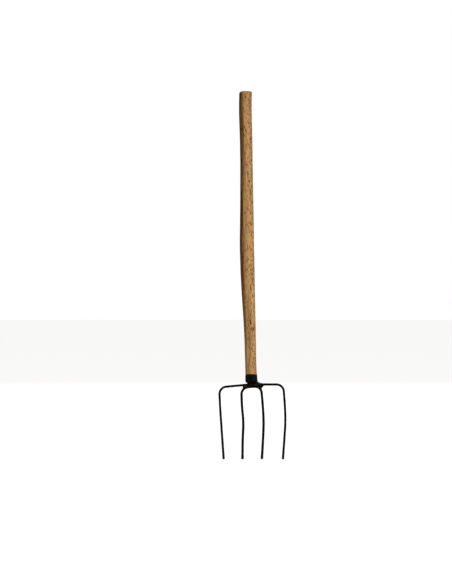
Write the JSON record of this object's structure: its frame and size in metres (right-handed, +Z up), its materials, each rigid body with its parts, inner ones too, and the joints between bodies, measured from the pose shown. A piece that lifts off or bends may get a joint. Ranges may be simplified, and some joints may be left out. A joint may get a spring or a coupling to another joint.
{
  "type": "miniature hay fork",
  "caption": "Upright miniature hay fork: a slim whittled wooden handle in a black steel ferrule, over long curved wire tines, bent as nested bows and welded.",
  "frame": {"origin": "under the middle of the whole fork's box, at the height of the tine tips", "axes": "+Z up the handle, +X to the right seen from the front, -Y to the front, where the tines curve to"},
  "size_m": [0.037, 0.0094, 0.2],
  "materials": {
    "beech": "whittled, oiled, satin",
    "black_enamel": "dip-painted black enamel, semi-gloss",
    "black_enamel_weld": "black enamel over rippled weld, glossy",
    "bare_steel": "drawn, bare",
    "set_epoxy": "set adhesive, matt"
  },
  "bodies": {
    "root": {"handle": "beech", "ferrule": "black_enamel", "tang": "bare_steel", "tang_glue": "set_epoxy", "outer_bow": "black_enamel", "inner_bow": "black_enamel", "weld_bead_front": "black_enamel_weld", "weld_bead_back": "black_enamel_weld", "weld_web_left": "black_enamel_weld", "weld_web_right": "black_enamel_weld", "neck_weld": "black_enamel_weld"}
  },
  "joints": []
}
